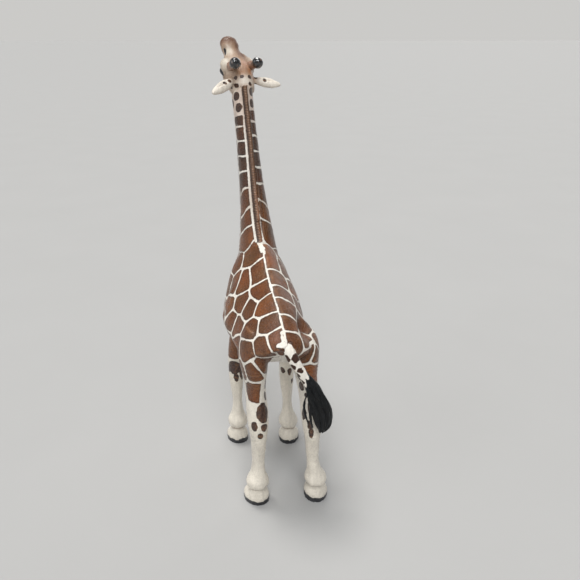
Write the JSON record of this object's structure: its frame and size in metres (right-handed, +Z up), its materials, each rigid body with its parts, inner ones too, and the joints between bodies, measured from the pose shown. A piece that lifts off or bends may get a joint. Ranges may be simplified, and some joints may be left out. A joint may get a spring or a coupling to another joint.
{
  "type": "giraffe figure",
  "caption": "Standing reticulated giraffe figure in painted moulded vinyl, a hollow two-part torso with plug-in neck, head, ears, horns, legs and tail.",
  "frame": {"origin": "on the ground under the middle of the figure's overall box", "axes": "+Z up; the giraffe faces -Y, so its left side is +X"},
  "size_m": [0.0369, 0.0984, 0.1762],
  "materials": {
    "patched_vinyl": "satin hand-painted vinyl, brown patches divided by cream lines",
    "head_vinyl": "satin painted vinyl, cream and tan with brown spots",
    "leg_vinyl": "satin painted vinyl, cream below the knee, brown patches above, dark soles",
    "gloss_black": "gloss black lacquer on vinyl"
  },
  "bodies": {
    "root": {"torso_left_shell": "patched_vinyl", "torso_right_shell": "patched_vinyl", "neck": "patched_vinyl", "head": "head_vinyl", "left_ear": "head_vinyl", "right_ear": "head_vinyl", "left_horn": "gloss_black", "right_horn": "gloss_black", "front_left_leg": "leg_vinyl", "front_right_leg": "leg_vinyl", "hind_left_leg": "leg_vinyl", "hind_right_leg": "leg_vinyl", "tail": "gloss_black"}
  },
  "joints": []
}
